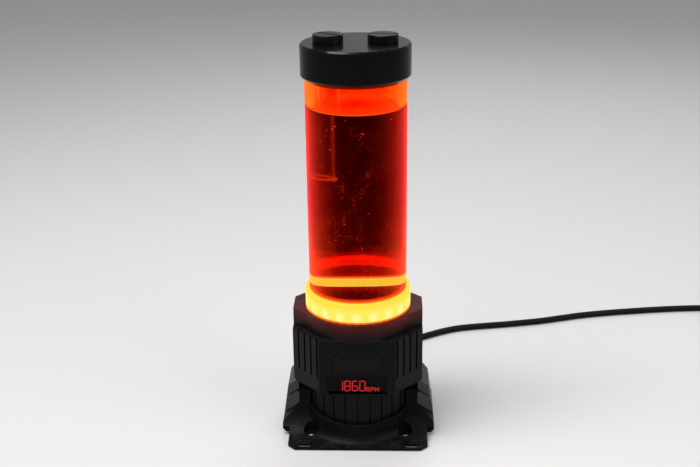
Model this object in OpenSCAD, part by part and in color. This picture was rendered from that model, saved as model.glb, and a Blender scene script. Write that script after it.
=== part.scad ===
// Coolant pump with a tube reservoir on top: every piece in its own node.
// Millimetres, +Z up, origin on the floor under the tank's axis, front towards -Y.

/* [Tank] */
// Outer diameter of the acrylic tube
tank_od = 60; // [56:0.5:62]
// Wall of the acrylic tube
tank_wall = 5; // [4:0.5:6]
// Length of tube seen between light ring and cap
tank_seen = 130.4; // [80:0.2:260]
// Height of the coolant above the tank floor
coolant_depth = 120; // [65:1:122]
// Depth of tube below the top of the light ring
tank_foot = 9.8; // [8:0.2:12]
// Play around seals and plug-in parts
seal_play = 0.15; // [0.1:0.05:0.25]
// Thickness of an O-ring's cord
seal_cord = 1.9; // [1.6:0.1:2.2]

/* [Cap] */
// Outer diameter of the cap
cap_d = 64.5; // [64:0.5:70]
// Height of the cap
cap_h = 19.8; // [17:0.2:26]
// Chamfer round the cap's top edge
cap_chamfer = 1; // [0.4:0.1:1.4]
// Chamfer round the cap's bottom edge
cap_foot_chamfer = 1.6; // [0.5:0.1:2]
// Depth of tube inside the cap
cap_socket = 13; // [11:0.5:14]
// How far the cap's inner boss hangs below its rim
cap_boss_drop = 2; // [1:0.5:4]

/* [Ports and plugs] */
// Major diameter of the port thread (G1/4)
thread_d = 13.16; // [12.9:0.02:13.4]
// Pitch of the port thread
thread_pitch = 1.337; // [1:0.001:2]
// Distance between the two ports in the cap
cap_port_gap = 31.6; // [27:0.2:33]
// Diameter of a plug's head
plug_d = 17.8; // [17.4:0.1:19]
// Height of a plug's head
plug_h = 4.4; // [3.8:0.1:6]
// Length of a plug's thread
plug_thread = 7.2; // [5:0.1:9]
// Width of a plug's coin slot
coin_w = 1.8; // [1:0.1:2.4]
// Depth of a plug's coin slot
coin_depth = 1.5; // [1:0.1:1.8]
// Direction of the fill plug's coin slot, from +X
fill_slot_turn = -38; // [-90:1:90]
// Direction of the vent plug's coin slot, from +X
vent_slot_turn = -6; // [-90:1:90]
// Radial play of a plug's thread in its port
thread_play = 0.08; // [0.05:0.01:0.1]
// Outer diameter of the dip tube
dip_od = 12.4; // [11:0.1:12.8]
// Wall of the dip tube
dip_wall = 1.2; // [1:0.1:1.5]
// Length of dip tube below the cap's boss
dip_length = 58; // [20:1:60]

/* [Light ring] */
// Outer diameter of the light ring
ring_d = 65.4; // [65:0.1:66]
// Height of the light ring
ring_h = 12.8; // [11:0.1:15]
// Rounding of the light ring's top edge
ring_round = 1.8; // [1:0.1:2]
// Number of light-emitting diodes
led_count = 20; // [12:1:24]
// Side of one diode
led_side = 2; // [1.6:0.1:2.2]
// Height of one diode
led_h = 0.9; // [0.6:0.1:1]

/* [Shell] */
// Width across the octagonal shell's flats
shell_w = 80; // [79:0.5:84]
// Height of the octagonal part
shell_h = 34.2; // [33:0.1:38]
// Wall of the shell
shell_wall = 2.2; // [2:0.1:2.4]
// Distance from the axis to the front face
shell_front = 33; // [32.8:0.1:34]
// Distance from the axis to the rear face
shell_rear = 34; // [33:0.5:36]
// Outer diameter of the drum under the light ring
drum_d = 71; // [70:0.5:74]
// Height of the drum
drum_h = 10.5; // [9:0.1:12]
// Width of a drum ear's outer face
ear_w = 17.6; // [12:0.2:20]
// Width of a cooling groove in the corner faces
groove_w = 1.5; // [1:0.1:2]
// Depth of a cooling groove
groove_depth = 1; // [0.6:0.1:1.2]
// Distance between cooling grooves
groove_pitch = 5.6; // [4.5:0.1:6]
// Number of grooves in each corner face
groove_count = 4; // [2:1:4]
// Height of the plain band below the grooves
groove_rise = 8.7; // [5:0.1:14]
// Thickness of the shell's floor plate
floor_t = 2.1; // [2:0.1:2.4]
// How far the floor plate stands back from the shell's outline
floor_inset = 1.5; // [1:0.1:2]

/* [Front panel] */
// Width of the front panel
panel_w = 44.2; // [42:0.2:45]
// Height of the front panel
panel_h = 35.4; // [34:0.1:36.4]
// How far the panel hangs below the shell
panel_drop = 2.9; // [2:0.1:2.9]
// Thickness of the panel
panel_t = 1.4; // [1.2:0.1:1.6]
// Width of the display window
window_w = 37.6; // [34:0.2:39]
// Height of the display window
window_h = 12.3; // [11:0.1:13]
// Height of the window above the panel's lower edge
window_rise = 0.9; // [0.8:0.1:1.4]
// Width of the blank badge plate
badge_w = 29.8; // [20:0.2:36]
// Height of the blank badge plate
badge_h = 15.6; // [10:0.1:16]
// Cut of the badge plate's top corners
badge_cut = 5; // [2:0.5:7]
// Height of a display digit
digit_h = 7.2; // [5:0.1:7.6]
// Distance between display digits
digit_pitch = 4.55; // [4:0.05:4.6]
// Width of a display segment's bar
segment_w = 0.6; // [0.5:0.05:0.9]

/* [Pump] */
// Outer diameter of the motor housing
motor_d = 66; // [65.6:0.1:66.2]
// Height of the motor housing
motor_h = 29.3; // [28.9:0.1:34]
// Wall of the motor housing
motor_wall = 2.5; // [2.2:0.1:2.6]
// Number of upright grooves round the motor housing
motor_grooves = 27; // [18:1:36]
// Outer diameter of the pump's body
pump_d = 58; // [57.6:0.1:58.4]
// Diameter of the impeller
impeller_d = 35; // [30:0.5:35.6]
// Height of the impeller's vanes
vane_h = 5; // [3:0.5:5.5]
// Number of impeller vanes
vane_count = 6; // [4:1:8]
// Diameter of the fixed shaft
shaft_d = 3; // [2.5:0.1:3.4]
// Radial play of the rotor's bush on the shaft
bush_play = 0.05; // [0.02:0.01:0.09]
// Outer diameter of the rotor magnet
magnet_d = 23.8; // [20:0.2:23.8]
// Gap between the magnet and the can
rotor_gap = 0.7; // [0.5:0.1:1]
// Wall of the separating can
can_wall = 0.8; // [0.6:0.1:1]
// Distance between the two rear ports
rear_port_gap = 23; // [21:0.5:24]
// Height of the rear ports above the floor
rear_port_z = 55.5; // [54:0.5:56]
// Depth of a rear port's thread
rear_port_depth = 12; // [9:0.5:13]

/* [Base] */
// Width of the base plate
base_w = 86.4; // [86:0.2:92]
// Depth of the base plate, front to back
base_l = 85; // [84:0.5:92]
// Thickness of the base plate
plate_t = 1.6; // [1.4:0.1:2.2]
// Thickness of the cup's floor
cup_floor_t = 1.9; // [1.8:0.1:2.4]
// How far the rubber feet stand out
foot_out = 0.5; // [0.3:0.1:1]
// Width over the two legs
legs_w = 95.2; // [94.4:0.2:98]
// Depth of a leg, front to back
leg_l = 32; // [30:0.5:32]
// Height of a leg's inner step
leg_step_z = 28; // [26:0.5:29]
// Radius of the sweep from a leg down to the plate
sweep_r = 20; // [18:0.5:21]
// Lowest height of the cup's rim
cup_rim_z = 13.2; // [11:0.1:14]
// Distance between the corner holes along X
corner_gap_x = 59.4; // [59:0.2:61]
// Distance between the corner holes along Y
corner_gap_y = 52; // [51:0.5:55]
// Diameter of a corner hole's counterbore
corner_bore_d = 8.8; // [8:0.1:9]
// Diameter of a corner hole
corner_hole_d = 4.5; // [4:0.1:5]
// Distance between the slots along X
slot_gap_x = 66; // [64:0.5:68]
// Distance between the slots along Y
slot_gap_y = 78.6; // [77:0.1:79.2]
// Width of a slot
slot_w = 3.4; // [3:0.1:3.6]
// Length of a slot
slot_l = 9.4; // [8:0.1:10]
// Thickness of the leg trims
trim_t = 1.6; // [1.2:0.1:2]

/* [Cable] */
// Diameter of the cable
cable_d = 4.5; // [4:0.1:4.6]
// Length of the tapered strain relief outside the housing
relief_l = 18; // [14:1:18]

/* [Hidden] */
$fn = 96;
eps = 0.01;

// Radii
tank_r = tank_od / 2;
bore_r = tank_r - tank_wall;
cap_r = cap_d / 2;
ring_r = ring_d / 2;
drum_r = drum_d / 2;
motor_r = motor_d / 2;
pump_r = pump_d / 2;
port_r = thread_d / 2;
boss_r = bore_r - seal_play;
seal_r = seal_cord / 2;
cable_r = cable_d / 2;
gap = 0.3;                                    // gap between pieces that don't touch
glow_play = 0.2;                              // gap between light ring and tube

// Heights, from the floor up
plate_z = foot_out;
cup_floor_z = plate_z + cup_floor_t;
damper_t = 1.5;
motor_z = cup_floor_z + damper_t;
motor_floor_t = 2;
motor_top = motor_z + motor_h;
flange_t = 2;
flange_top = motor_top + flange_t;
shell_z = flange_top + 1.1;
shell_top = shell_z + shell_h;
drum_top = shell_top + drum_h;
ring_z = drum_top;
ring_top = ring_z + ring_h;
board_t = 1;
led_board_z = ring_z - led_h - board_t - 0.5;
tank_z = ring_top - tank_foot;
tank_floor = tank_z + 3.7;
cap_z = ring_top + tank_seen;
cap_top = cap_z + cap_h;
tank_top = cap_z + cap_socket;
level_z = tank_floor + coolant_depth;

// Torus of an O-ring lying flat
module o_ring(r, z, cord_r = seal_r) {
    translate([0, 0, z]) rotate_extrude() translate([r, 0]) circle(cord_r, $fn = 32);
}

// Ring between two radii and two heights
module tube(ro, ri, z0, z1) {
    translate([0, 0, z0]) difference() {
        cylinder(r = ro, h = z1 - z0);
        translate([0, 0, -1]) cylinder(r = ri, h = z1 - z0 + 2);
    }
}

// Block between two corners
module block(a, b) { translate(a) cube(b - a); }

// Upright cylinder between two heights
module post(r, x, y, z0, z1) { translate([x, y, z0]) cylinder(r = r, h = z1 - z0); }

// ---------- base ----------
leg_x = legs_w / 2;
leg_front = leg_l / 2;
cup_r = motor_r + 1;
cup_wall = 1.8;
step_x = cup_r + 3.3;                         // where the inner step meets the trims
leg_t = leg_x - step_x;
trim_top_x = step_x + 0.155 * leg_t;
lean = 0.41 * leg_t;                          // how far a leg leans in over its height
cup_fillet = 6;
rim_curve = 105;                              // radius of the dip in the cup's rim
plate_top = plate_z + plate_t;
leg_under = plate_z + 1.8;
corner_in = 4.5;                              // cut of the plate's corners
chamfer_turn = 30;                            // slant of a leg's corner, seen from above

// Outline of a leg from above; back = how far it stands back from the trims
module leg_plan(back) {
    f = leg_front - back;
    reach = leg_x + 2 - step_x;
    dy = reach * tan(chamfer_turn);
    polygon([[0, -f], [step_x, -f], [step_x + reach, -f + dy],
        [step_x + reach, f - dy], [step_x, f], [0, f]]);
}

// Prism of an X-Z outline, run along Y over the given half depth
module along_y(half) {
    translate([0, half, 0]) rotate([90, 0, 0]) linear_extrude(2 * half) children();
}

// Line of a leg's lower trim edge: height at a given x, falling outwards to the leg's foot edge
trim_foot_z = 8;
trim_low_z = leg_step_z - 9.7;
trim_slope = (trim_low_z - trim_foot_z) / leg_t;
function trim_line(x) = trim_low_z - (x - step_x) * trim_slope;

// Trim between two of those 45 degree lines, with upper and lower offsets
module leg_trim(low, high) {
    top_x = max(step_x, min(trim_top_x, step_x + high));
    outer = function(z) leg_x - lean * (z - trim_foot_z) / 24;
    zl = trim_line(leg_x) + low;
    zh = trim_line(leg_x) + high;
    xl = outer(zl);
    xh = outer(zh);
    intersection() {
        along_y(leg_l) polygon([[step_x, trim_line(step_x) + low], [xl, trim_line(xl) + low],
            [xh, trim_line(xh) + high], [top_x, trim_line(top_x) + high],
            [top_x, min(trim_line(top_x) + high, shell_z - floor_t - 0.4)],
            [step_x, min(trim_line(top_x) + high, shell_z - floor_t - 0.4)]]);
        linear_extrude(shell_z - 0.4) leg_plan(0);
    }
}

// Core of a leg that the trims lie on
module leg_core() {
    intersection() {
        along_y(leg_l) polygon([[step_x - 4, plate_z], [step_x, plate_z],
            [leg_x - trim_t - 0.4, trim_foot_z + trim_slope * 0.1],
            [max(leg_x - trim_t - lean, trim_top_x + 0.5), shell_z - 7],
            [trim_top_x, shell_z - 4], [step_x, shell_z - 4], [step_x, leg_step_z],
            [step_x - 4, leg_step_z]]);
        translate([0, 0, plate_z + 3]) linear_extrude(shell_z) leg_plan(trim_t - 0.2);
    }
}

module base_sweep() {
    // Y-Z outline: flat plate, round sweep up to the leg's upright face, flat top
    n = 24;
    c = leg_front + sweep_r;
    side = [for (i = [0:n]) [c - sweep_r * sin(90 * i / n), plate_top + sweep_r * (1 - cos(90 * i / n))]];
    half = concat([[c, plate_z]], side, [[leg_front, leg_step_z]]);
    mirrored = [for (i = [len(half) - 1:-1:0]) [-half[i][0], half[i][1]]];
    rotate([90, 0, 90]) linear_extrude(leg_x + 1) polygon(concat(half, mirrored));
}

leg_in = cup_r - 8;
module base_side() {
    intersection() {
        base_sweep();
        along_y(base_l / 2) polygon([[leg_in, plate_z], [min(base_w / 2, leg_x - 2.1), plate_z],
            [min(base_w / 2, leg_x - 2.1), leg_under], [leg_x - 2, leg_under], [leg_x, leg_under + 2.2],
            [leg_x, trim_foot_z], [step_x, trim_low_z], [step_x, leg_step_z], [leg_in, leg_step_z]]);
        union() {
            block([0, -base_l / 2, 0], [base_w / 2, base_l / 2, leg_step_z]);
            block([0, -leg_front - 8, 0], [leg_x, leg_front + 8, leg_step_z]);
        }
    }
    leg_core();
}

module base_bracket() {
    w = base_w / 2;
    l = base_l / 2;
    color("#26272a") difference() {
        union() {
            linear_extrude(plate_top, convexity = 4) polygon([[-w + corner_in, -l], [w - corner_in, -l],
                [w, -l + corner_in], [w, l - corner_in], [w - corner_in, l],
                [-w + corner_in, l], [-w, l - corner_in], [-w, -l + corner_in]]);
            for (s = [0, 1]) mirror([s, 0, 0]) base_side();
            intersection() {
                union() {
                    translate([0, 0, plate_z]) cylinder(r = cup_r + cup_wall, h = 21);
                    rotate_extrude() difference() {
                        translate([0, plate_z]) square([cup_r + cup_wall + cup_fillet, plate_t + cup_fillet]);
                        translate([cup_r + cup_wall + cup_fillet, plate_top + cup_fillet]) circle(cup_fillet);
                    }
                }
                block([-w, -l, 0], [w, l, leg_step_z]);
                difference() {
                    block([-w, -l, 0], [w, l, leg_step_z]);
                    translate([0, l + 1, cup_rim_z + rim_curve]) rotate([90, 0, 0])
                        cylinder(r = rim_curve, h = base_l + 2);
                }
            }
        }
        block([-w - 1, -l - 1, -1], [w + 1, l + 1, plate_z]);
        post(cup_r, 0, 0, cup_floor_z, 60);
        for (x = [-1, 1], y = [-1, 1]) {
            post(corner_hole_d / 2, x * corner_gap_x / 2, y * corner_gap_y / 2, -1, 10);
            post(corner_bore_d / 2, x * corner_gap_x / 2, y * corner_gap_y / 2, plate_top, 30);
            slot_cut(x * slot_gap_x / 2, y * slot_gap_y / 2);
            post(foot_r + 0.1, x * foot_x, y * foot_y, -1, foot_seat);
        }
        for (a = [0:90:270]) rotate(a) translate([base_screw_ring, 0, 0]) {
            post(screw_r + 0.15, 0, 0, -1, 10);
            translate([0, 0, plate_z - eps]) cylinder(r1 = screw_head_r + 0.1, r2 = screw_r + 0.1, h = 1.5);
        }
    }
}

module slot_cut(x, y) {
    run = (slot_l - slot_w) / 2;
    for (s = [-1, 1]) post(slot_w / 2, x + s * run, y, -1, 12);
    block([x - run, y - slot_w / 2, -1], [x + run, y + slot_w / 2, 12]);
}

// Edges of the two trims on each leg, measured up from the lower trim line
trim_edges = [[9.7 + 0.8, 17.5], [0.3, 9.7 - 0.2]];
module trim_on_leg(edges) {
    color("#3a3b3e") difference() {
        leg_trim(edges[0], edges[1]);
        leg_core();
        post(cup_r + cup_wall, 0, 0, 0, 60);
    }
}
module left_upper_trim() { mirror([1, 0, 0]) trim_on_leg(trim_edges[0]); }
module left_lower_trim() { mirror([1, 0, 0]) trim_on_leg(trim_edges[1]); }
module right_upper_trim() { trim_on_leg(trim_edges[0]); }
module right_lower_trim() { trim_on_leg(trim_edges[1]); }

foot_r = 3.4;
foot_x = base_w / 2 - 4.4;
foot_y = base_l / 2 - 11;
foot_seat = plate_z + 0.7;
module rubber_feet() {
    color("#151515") for (x = [-1, 1], y = [-1, 1]) post(foot_r, x * foot_x, y * foot_y, 0, foot_seat);
}

screw_r = 1.45;
screw_head_r = 2.7;
base_screw_ring = motor_r - 6.5;
module base_screws() {
    color("#8a8c90") for (a = [0:90:270]) rotate(a) translate([base_screw_ring, 0, 0]) {
        translate([0, 0, plate_z + 0.05]) difference() {
            cylinder(r1 = screw_head_r, r2 = screw_r, h = 1.4);
            translate([0, 0, -1]) cylinder(r = 1.1, h = 1.8, $fn = 6);
        }
        post(screw_r, 0, 0, plate_z + 1.4, motor_z + 9);
    }
}

module damping_ring() {
    color("#1b1b1b") difference() {
        tube(motor_r - 1.5, 21, cup_floor_z, motor_z);
        for (a = [0:45:315]) rotate(a) post(3.4, base_screw_ring, 0, 0, 10);
    }
}

// ---------- motor ----------
boss_ring = base_screw_ring;
stator_z = motor_z + 10.1;
module motor_housing() {
    color("#222326") difference() {
        union() {
            tube(motor_r, motor_r - motor_wall, motor_z, motor_top);
            post(motor_r, 0, 0, motor_z, motor_z + motor_floor_t);
            for (a = [45:90:315]) rotate(a) {
                post(4.6, boss_ring, 0, motor_z, stator_z);
                post(3.4, boss_ring, 0, motor_z, motor_top);
            }
            for (a = [0:90:270]) rotate(a) {
                post(3.4, boss_ring, 0, motor_z, motor_z + 9.8);
                post(2.2, board_post_ring, 0, motor_z, board_z);
            }
        }
        for (i = [0:motor_grooves - 1]) rotate(i * 360 / motor_grooves - 90)
            block([motor_r - 0.8, -0.5, motor_z + 3], [motor_r + 1, 0.5, motor_top + 1]);
        for (a = [45:90:315]) rotate(a) {
            post(1.6, boss_ring, 0, 0, motor_top + 1);
            post(3, boss_ring, 0, 0, motor_z + 2.9);
        }
        for (a = [0:90:270]) rotate(a) {
            post(screw_r, boss_ring, 0, 0, motor_z + 9.2);
            post(0.95, board_post_ring, 0, motor_z + 0.6, board_z + 1);
        }
        translate([relief_x, 0, relief_z]) rotate([-90, 0, 0]) cylinder(r = relief_r + 0.1, h = motor_r + 2);
    }
}

board_post_ring = motor_r - 16;
board_z = motor_z + 3.4;
board_top = board_z + 1.6;
module controller_board() {
    color("#123a22") difference() {
        post(motor_r - motor_wall - 2.5, 0, 0, board_z, board_top);
        for (a = [45:90:315]) rotate(a) post(4.9, boss_ring, 0, 0, 20);
        for (a = [0:90:270]) rotate(a) {
            post(3.7, boss_ring, 0, 0, 20);
            post(1.1, board_post_ring, 0, 0, 20);
        }
    }
}

module board_components() {
    color("#1a1a1c") {
        for (a = [25, 65, 115, 155]) rotate(a) block([18.5, -2.2, board_top], [22.5, 2.2, board_top + 1.8]);
        rotate(205) post(2.6, 19.5, 0, board_top, board_top + 2.1);
        rotate(245) post(2.6, 19.5, 0, board_top, board_top + 2.1);
        rotate(295) block([9, -4.5, board_top], [16, 4.5, board_top + 0.9]);
    }
}

module board_screws() {
    color("#b9bbbf") for (a = [0:90:270]) rotate(a) {
        post(1.9, board_post_ring, 0, board_top, board_top + 1.2);
        post(0.9, board_post_ring, 0, board_top - 3.5, board_top + 0.5);
    }
}

stator_r = 22.4;
can_r = magnet_d / 2 + rotor_gap + can_wall;
stator_bore = can_r + 0.15;
stator_h = 12;
tooth_w = 5;
module stator_core() {
    color("#8d9095") {
        tube(stator_r, stator_r - 2.8, stator_z, stator_z + stator_h);
        for (a = [0:60:300]) rotate(a) difference() {
            union() {
                block([stator_bore + 0.4, -tooth_w / 2, stator_z], [stator_r - 2.5, tooth_w / 2, stator_z + stator_h]);
                intersection() {
                    tube(stator_bore + 1.5, 1, stator_z, stator_z + stator_h);
                    block([5, -5.2, 0], [20, 5.2, 60]);
                }
            }
            post(stator_bore, 0, 0, 0, 60);
        }
    }
}

module stator_windings() {
    over = 2.6;
    color("#b4642c") for (a = [0:60:300]) rotate(a) difference() {
        intersection() {
            block([stator_bore + 1.6, -tooth_w / 2 - 1.7, stator_z - over],
                [stator_r, tooth_w / 2 + 1.7, stator_z + stator_h + over]);
            post(stator_r - 3, 0, 0, stator_z - over - 1, stator_z + stator_h + over + 1);
        }
        block([0, -tooth_w / 2 - 0.05, stator_z - 0.05], [stator_r, tooth_w / 2 + 0.05, stator_z + stator_h + 0.05]);
    }
}

can_floor = motor_z + 6.4;
can_boss_top = can_floor + 2.6;
module motor_can() {
    color("#2b2c2f") {
        difference() {
            union() {
                post(pump_r + 2.4, 0, 0, motor_top, flange_top);
                post(can_r, 0, 0, can_floor, motor_top + 0.5);
            }
            post(can_r - can_wall, 0, 0, can_floor + 1, flange_top + 1);
            for (a = [45:90:315]) rotate(a) post(1.6, boss_ring, 0, 0, 60);
        }
        difference() {
            post(3.3, 0, 0, can_floor + 0.5, can_boss_top);
            post(shaft_d / 2, 0, 0, can_floor + 1.2, 60);
        }
    }
}

can_seal_ring = 21.5;
module can_seal() {
    color("#111111") o_ring(can_seal_ring, flange_top + seal_r);
}

module rotor_shaft() {
    color("#e8e6df") post(shaft_d / 2 - 0.01, 0, 0, can_floor + 1.2, chamber_top - 1);
}

bush_r = shaft_d / 2 + 1.6;
hub_r = bush_r + 2;
rotor_z = can_boss_top + gap;
disc_z = flange_top + 1.2;
vane_z = disc_z + 1.4;
vane_top = vane_z + vane_h;
chamber_r = impeller_d / 2 + 1;
chamber_top = vane_top + 1;
module bearing_bush() {
    color("#34353a") tube(bush_r, shaft_d / 2 + bush_play, rotor_z, vane_z + 1);
}

module rotor_magnet() {
    color("#55575c") tube(magnet_d / 2, hub_r + 0.05, rotor_z + 1.2, stator_z + stator_h + 2);
}

module impeller() {
    r = impeller_d / 2;
    color("#d9d9d4") difference() {
        union() {
            post(hub_r, 0, 0, rotor_z, vane_z + 2);
            post(hub_r + 1.6, 0, 0, rotor_z, rotor_z + 1.15);
            post(r, 0, 0, disc_z, vane_z);
            for (i = [0:vane_count - 1]) rotate(i * 360 / vane_count) intersection() {
                translate([0, -r * 0.75, 0]) tube(r * 0.95, r * 0.95 - 1.2, vane_z - 0.2, vane_top);
                tube(r, hub_r - 0.5, vane_z - 0.2, vane_top);
                block([0, 0, 0], [r, r, 80]);
            }
        }
        post(bush_r + 0.02, 0, 0, 0, 80);
    }
}

// ---------- pump body ----------
shoulder_z = shell_top + 1.5;
inlet_r = 6;
duct_r = 4.3;
block_w = 39;
block_low = rear_port_z - 9.5;
block_high = rear_port_z + 9.5;
block_back = shell_rear + 1.5;
module pump_body() {
    px = rear_port_gap / 2;
    color("#1c1d20") difference() {
        union() {
            post(pump_r, 0, 0, flange_top, shoulder_z + 1);
            post(ring_r, 0, 0, shoulder_z, led_board_z);
            post(tank_r, 0, 0, shoulder_z, tank_z);
            post(boss_r, 0, 0, tank_z - 1, tank_floor);
            block([-block_w / 2, 8, block_low], [block_w / 2, block_back, block_high]);
        }
        tube(bore_r + 1, bore_r - seal_cord - 0.05, tube_seal_z - seal_r - 0.05, tube_seal_z + seal_r + 0.05);
        tube(can_seal_ring + seal_r + 0.05, can_seal_ring - seal_r - 0.05, flange_top - 1, flange_top + seal_cord + 0.05);
        post(chamber_r, 0, 0, flange_top - 1, chamber_top);
        post(inlet_r, 0, 0, 0, tank_floor + 1);
        for (a = [45:90:315]) rotate(a) post(screw_r + 0.02, boss_ring, 0, 0, flange_top + 9);
        for (s = [-1, 1]) translate([s * px, block_back - rear_port_depth, rear_port_z]) rotate([-90, 0, 0])
            cylinder(r = port_r, h = rear_port_depth + 1);
        // return duct, from the left port up to the tank
        block_duct([-px, block_back - rear_port_depth + 1, rear_port_z], 8);
        post(duct_r, -px, 14, rear_port_z, tank_floor + 1);
        // outlet duct, from the chamber's rim up to the right port
        block_duct([px, block_back - rear_port_depth + 1, rear_port_z], 8);
        post(duct_r, px, 15, vane_z + 2.5, rear_port_z);
        translate([px, 0, vane_z + 2.5]) rotate([-90, 0, 0]) cylinder(r = 3, h = 15);
    }
}
module block_duct(at, run) {
    translate(at) rotate([90, 0, 0]) cylinder(r = duct_r, h = run + 1);
}

module pump_screws() {
    color("#8a8c90") for (a = [45:90:315]) rotate(a) {
        difference() {
            post(2.75, boss_ring, 0, motor_z + 0.2, motor_z + 2.9);
            post(1.25, boss_ring, 0, 0, motor_z + 1.6, $fn = 6);
        }
        post(screw_r, boss_ring, 0, motor_z + 2.5, flange_top + 8.6);
    }
}

// ---------- shell ----------
corner_y = shell_w / 2 * tan(22.5);

// Octagon, moved in by a distance, between the front and rear faces
module octagon(inset) {
    h = shell_w / 2 - inset;
    intersection() {
        rotate(22.5) circle(h / cos(22.5), $fn = 8);
        translate([-h, -shell_front + inset]) square([2 * h, shell_front + shell_rear - 2 * inset]);
    }
}

module shell_floor() {
    color("#1d1e20") translate([0, 0, shell_z - floor_t]) difference() {
        linear_extrude(floor_t) difference() {
            octagon(floor_inset);
            circle(pump_r + gap);
            translate([-panel_w / 2 - 0.7, -shell_front - 1]) square([panel_w + 1.4, shell_front - 23]);
        }
        translate([0, 0, -1]) cylinder(r = pump_r + 2.7, h = floor_t);
        for (a = [45:90:315]) rotate(a) {
            translate([shell_screw_ring, 0, -1]) cylinder(r = 1.35, h = 5);
            translate([shell_screw_ring, 0, -1]) cylinder(r = 2.4, h = 2);
        }
    }
}

shell_screw_ring = shell_w / 2 - 5.4;
module shell_screws() {
    z = shell_z - floor_t + 1;
    color("#6f7175") for (a = [45:90:315]) rotate(a) {
        difference() {
            post(2.2, shell_screw_ring, 0, z - 0.95, z);
            post(0.9, shell_screw_ring, 0, 0, z - 0.4, $fn = 6);
        }
        post(1.2, shell_screw_ring, 0, z - 0.2, shell_z + 7);
    }
}

module ear_plan() {
    x = shell_w / 2;
    y = ear_w / 2;
    m = min((x + y) / 2, (drum_r - 0.5) * sqrt(0.5));
    for (s = [0, 1]) mirror([s, 0]) polygon([[0, -m], [m, -m], [x, -y], [x, y], [m, m], [0, m]]);
}

module housing_shell() {
    color("#232427") difference() {
        union() {
            translate([0, 0, shell_z]) linear_extrude(shell_h) octagon(0);
            post(drum_r, 0, 0, shell_top - 1, drum_top);
            translate([0, 0, shell_top - 1]) linear_extrude(drum_h + 1) ear_plan();
        }
        difference() {
            translate([0, 0, shell_z - 1]) linear_extrude(shell_h - shell_wall + 1) octagon(shell_wall);
            for (a = [45:90:315]) rotate(a) post(3.4, shell_screw_ring, 0, 0, shell_top);
        }
        post(pump_r + gap, 0, 0, 0, drum_top);
        post(ring_r + gap, 0, 0, shoulder_z, drum_top + 1);
        for (a = [45:90:315]) rotate(a) post(1.15, shell_screw_ring, 0, 0, shell_z + 7.5);
        corner_grooves();
        // seat and opening for the front panel
        block([-panel_w / 2 - 0.1, -shell_front - 1, shell_z - 1],
            [panel_w / 2 + 0.1, -shell_front + panel_t - panel_proud, panel_top + 0.1]);
        block([-panel_w / 2 + 2, -shell_front - 1, shell_z - 1],
            [panel_w / 2 - 2, -shell_front + shell_wall + 1, panel_top - 2]);
        // opening for the port block
        block([-block_w / 2 - gap, 0, block_low - gap], [block_w / 2 + gap, shell_rear + 1, block_high + gap]);
    }
}

module corner_grooves() {
    first = 5.3;
    for (sx = [-1, 1], sy = [-1, 1], i = [0:groove_count - 1]) {
        run = (first + i * groove_pitch) * sqrt(0.5);
        translate([sx * (shell_w / 2 - run), sy * (corner_y + run), shell_z + groove_rise])
            rotate(sx * sy * 45)
            translate([-groove_depth, -groove_w / 2, 0]) cube([2 * groove_depth, groove_w, shell_h]);
    }
}

// ---------- front panel and display ----------
panel_proud = 0.2;
panel_low = shell_z - panel_drop;
panel_top = panel_low + panel_h;
panel_front = -shell_front - panel_proud;
window_low = panel_low + window_rise;
window_top = window_low + window_h;
badge_low = window_top + 1.7;
module front_panel() {
    color("#242528") difference() {
        block([-panel_w / 2, panel_front, panel_low], [panel_w / 2, panel_front + panel_t, panel_top]);
        block([-window_w / 2, -60, window_low], [window_w / 2, 0, window_top]);
        translate([0, panel_front + 0.6, 0]) rotate([90, 0, 0]) linear_extrude(2) badge_outline(0.25);
    }
}

module badge_outline(grow) {
    w = badge_w / 2 + grow;
    low = badge_low - grow;
    high = badge_low + badge_h + grow;
    polygon([[-w, low], [w, low], [w, high - badge_cut], [w - badge_cut, high],
        [-w + badge_cut, high], [-w, high - badge_cut]]);
}

module badge_plate() {
    color("#2a2b2e") translate([0, panel_front + 0.6, 0]) rotate([90, 0, 0]) linear_extrude(0.6) badge_outline(0);
}

module display_window() {
    color("#15161a") block([-window_w / 2 + 0.1, panel_front + 0.1, window_low + 0.1],
        [window_w / 2 - 0.1, panel_front + panel_t, window_top - 0.1]);
}

segment_t = 0.4;
segment_back = panel_front + panel_t + segment_t + 0.1;
display_board_low = flange_top + 0.2;
module display_board() {
    color("#0f2f1c") block([-panel_w / 2 + 2.6, segment_back, display_board_low],
        [panel_w / 2 - 2.6, segment_back + 1.2, window_top + 0.5]);
}

// Seven bars of one digit: which bar, then its place and direction
digit_w = digit_pitch - 0.8;
digits_left = -window_w / 2 + 6.25;
digits_low = window_low + 1.2;
bars = [[0, 2, true], [1, 1.5, false], [1, 0.5, false], [0, 0, true], [-1, 0.5, false],
    [-1, 1.5, false], [0, 1, true]];
shown = [[1, 2], [0, 1, 2, 3, 4, 5, 6], [0, 2, 3, 4, 5, 6], [0, 1, 2, 3, 4, 5]];
slope = 0.03;

module digit_bar(place, bar) {
    b = bars[bar];
    half = digit_h / 2 - segment_w / 2;
    long = b[2] ? digit_w - 2 * segment_w - 0.3 : half - 0.3;
    z = digits_low + segment_w / 2 + b[1] * half;
    x = digits_left + digit_w / 2 + place * digit_pitch + b[0] * (digit_w - segment_w) / 2
        + slope * (z - digits_low);
    dx = b[2] ? long / 2 : segment_w / 2;
    dz = b[2] ? segment_w / 2 : long / 2;
    block([x - dx, segment_back - segment_t, z - dz], [x + dx, segment_back, z + dz]);
}

// One stroke of the speed unit's letters, from a to b in the X-Z plane
unit_stroke = 0.42;
module stroke(a, b) {
    w = unit_stroke;
    d = b - a;
    translate([a[0], segment_back, a[1]]) rotate([0, -atan2(d[1], d[0]), 0])
        translate([-w / 2, -segment_t, -w / 2]) cube([norm(d) + w, segment_t, w]);
}

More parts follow.
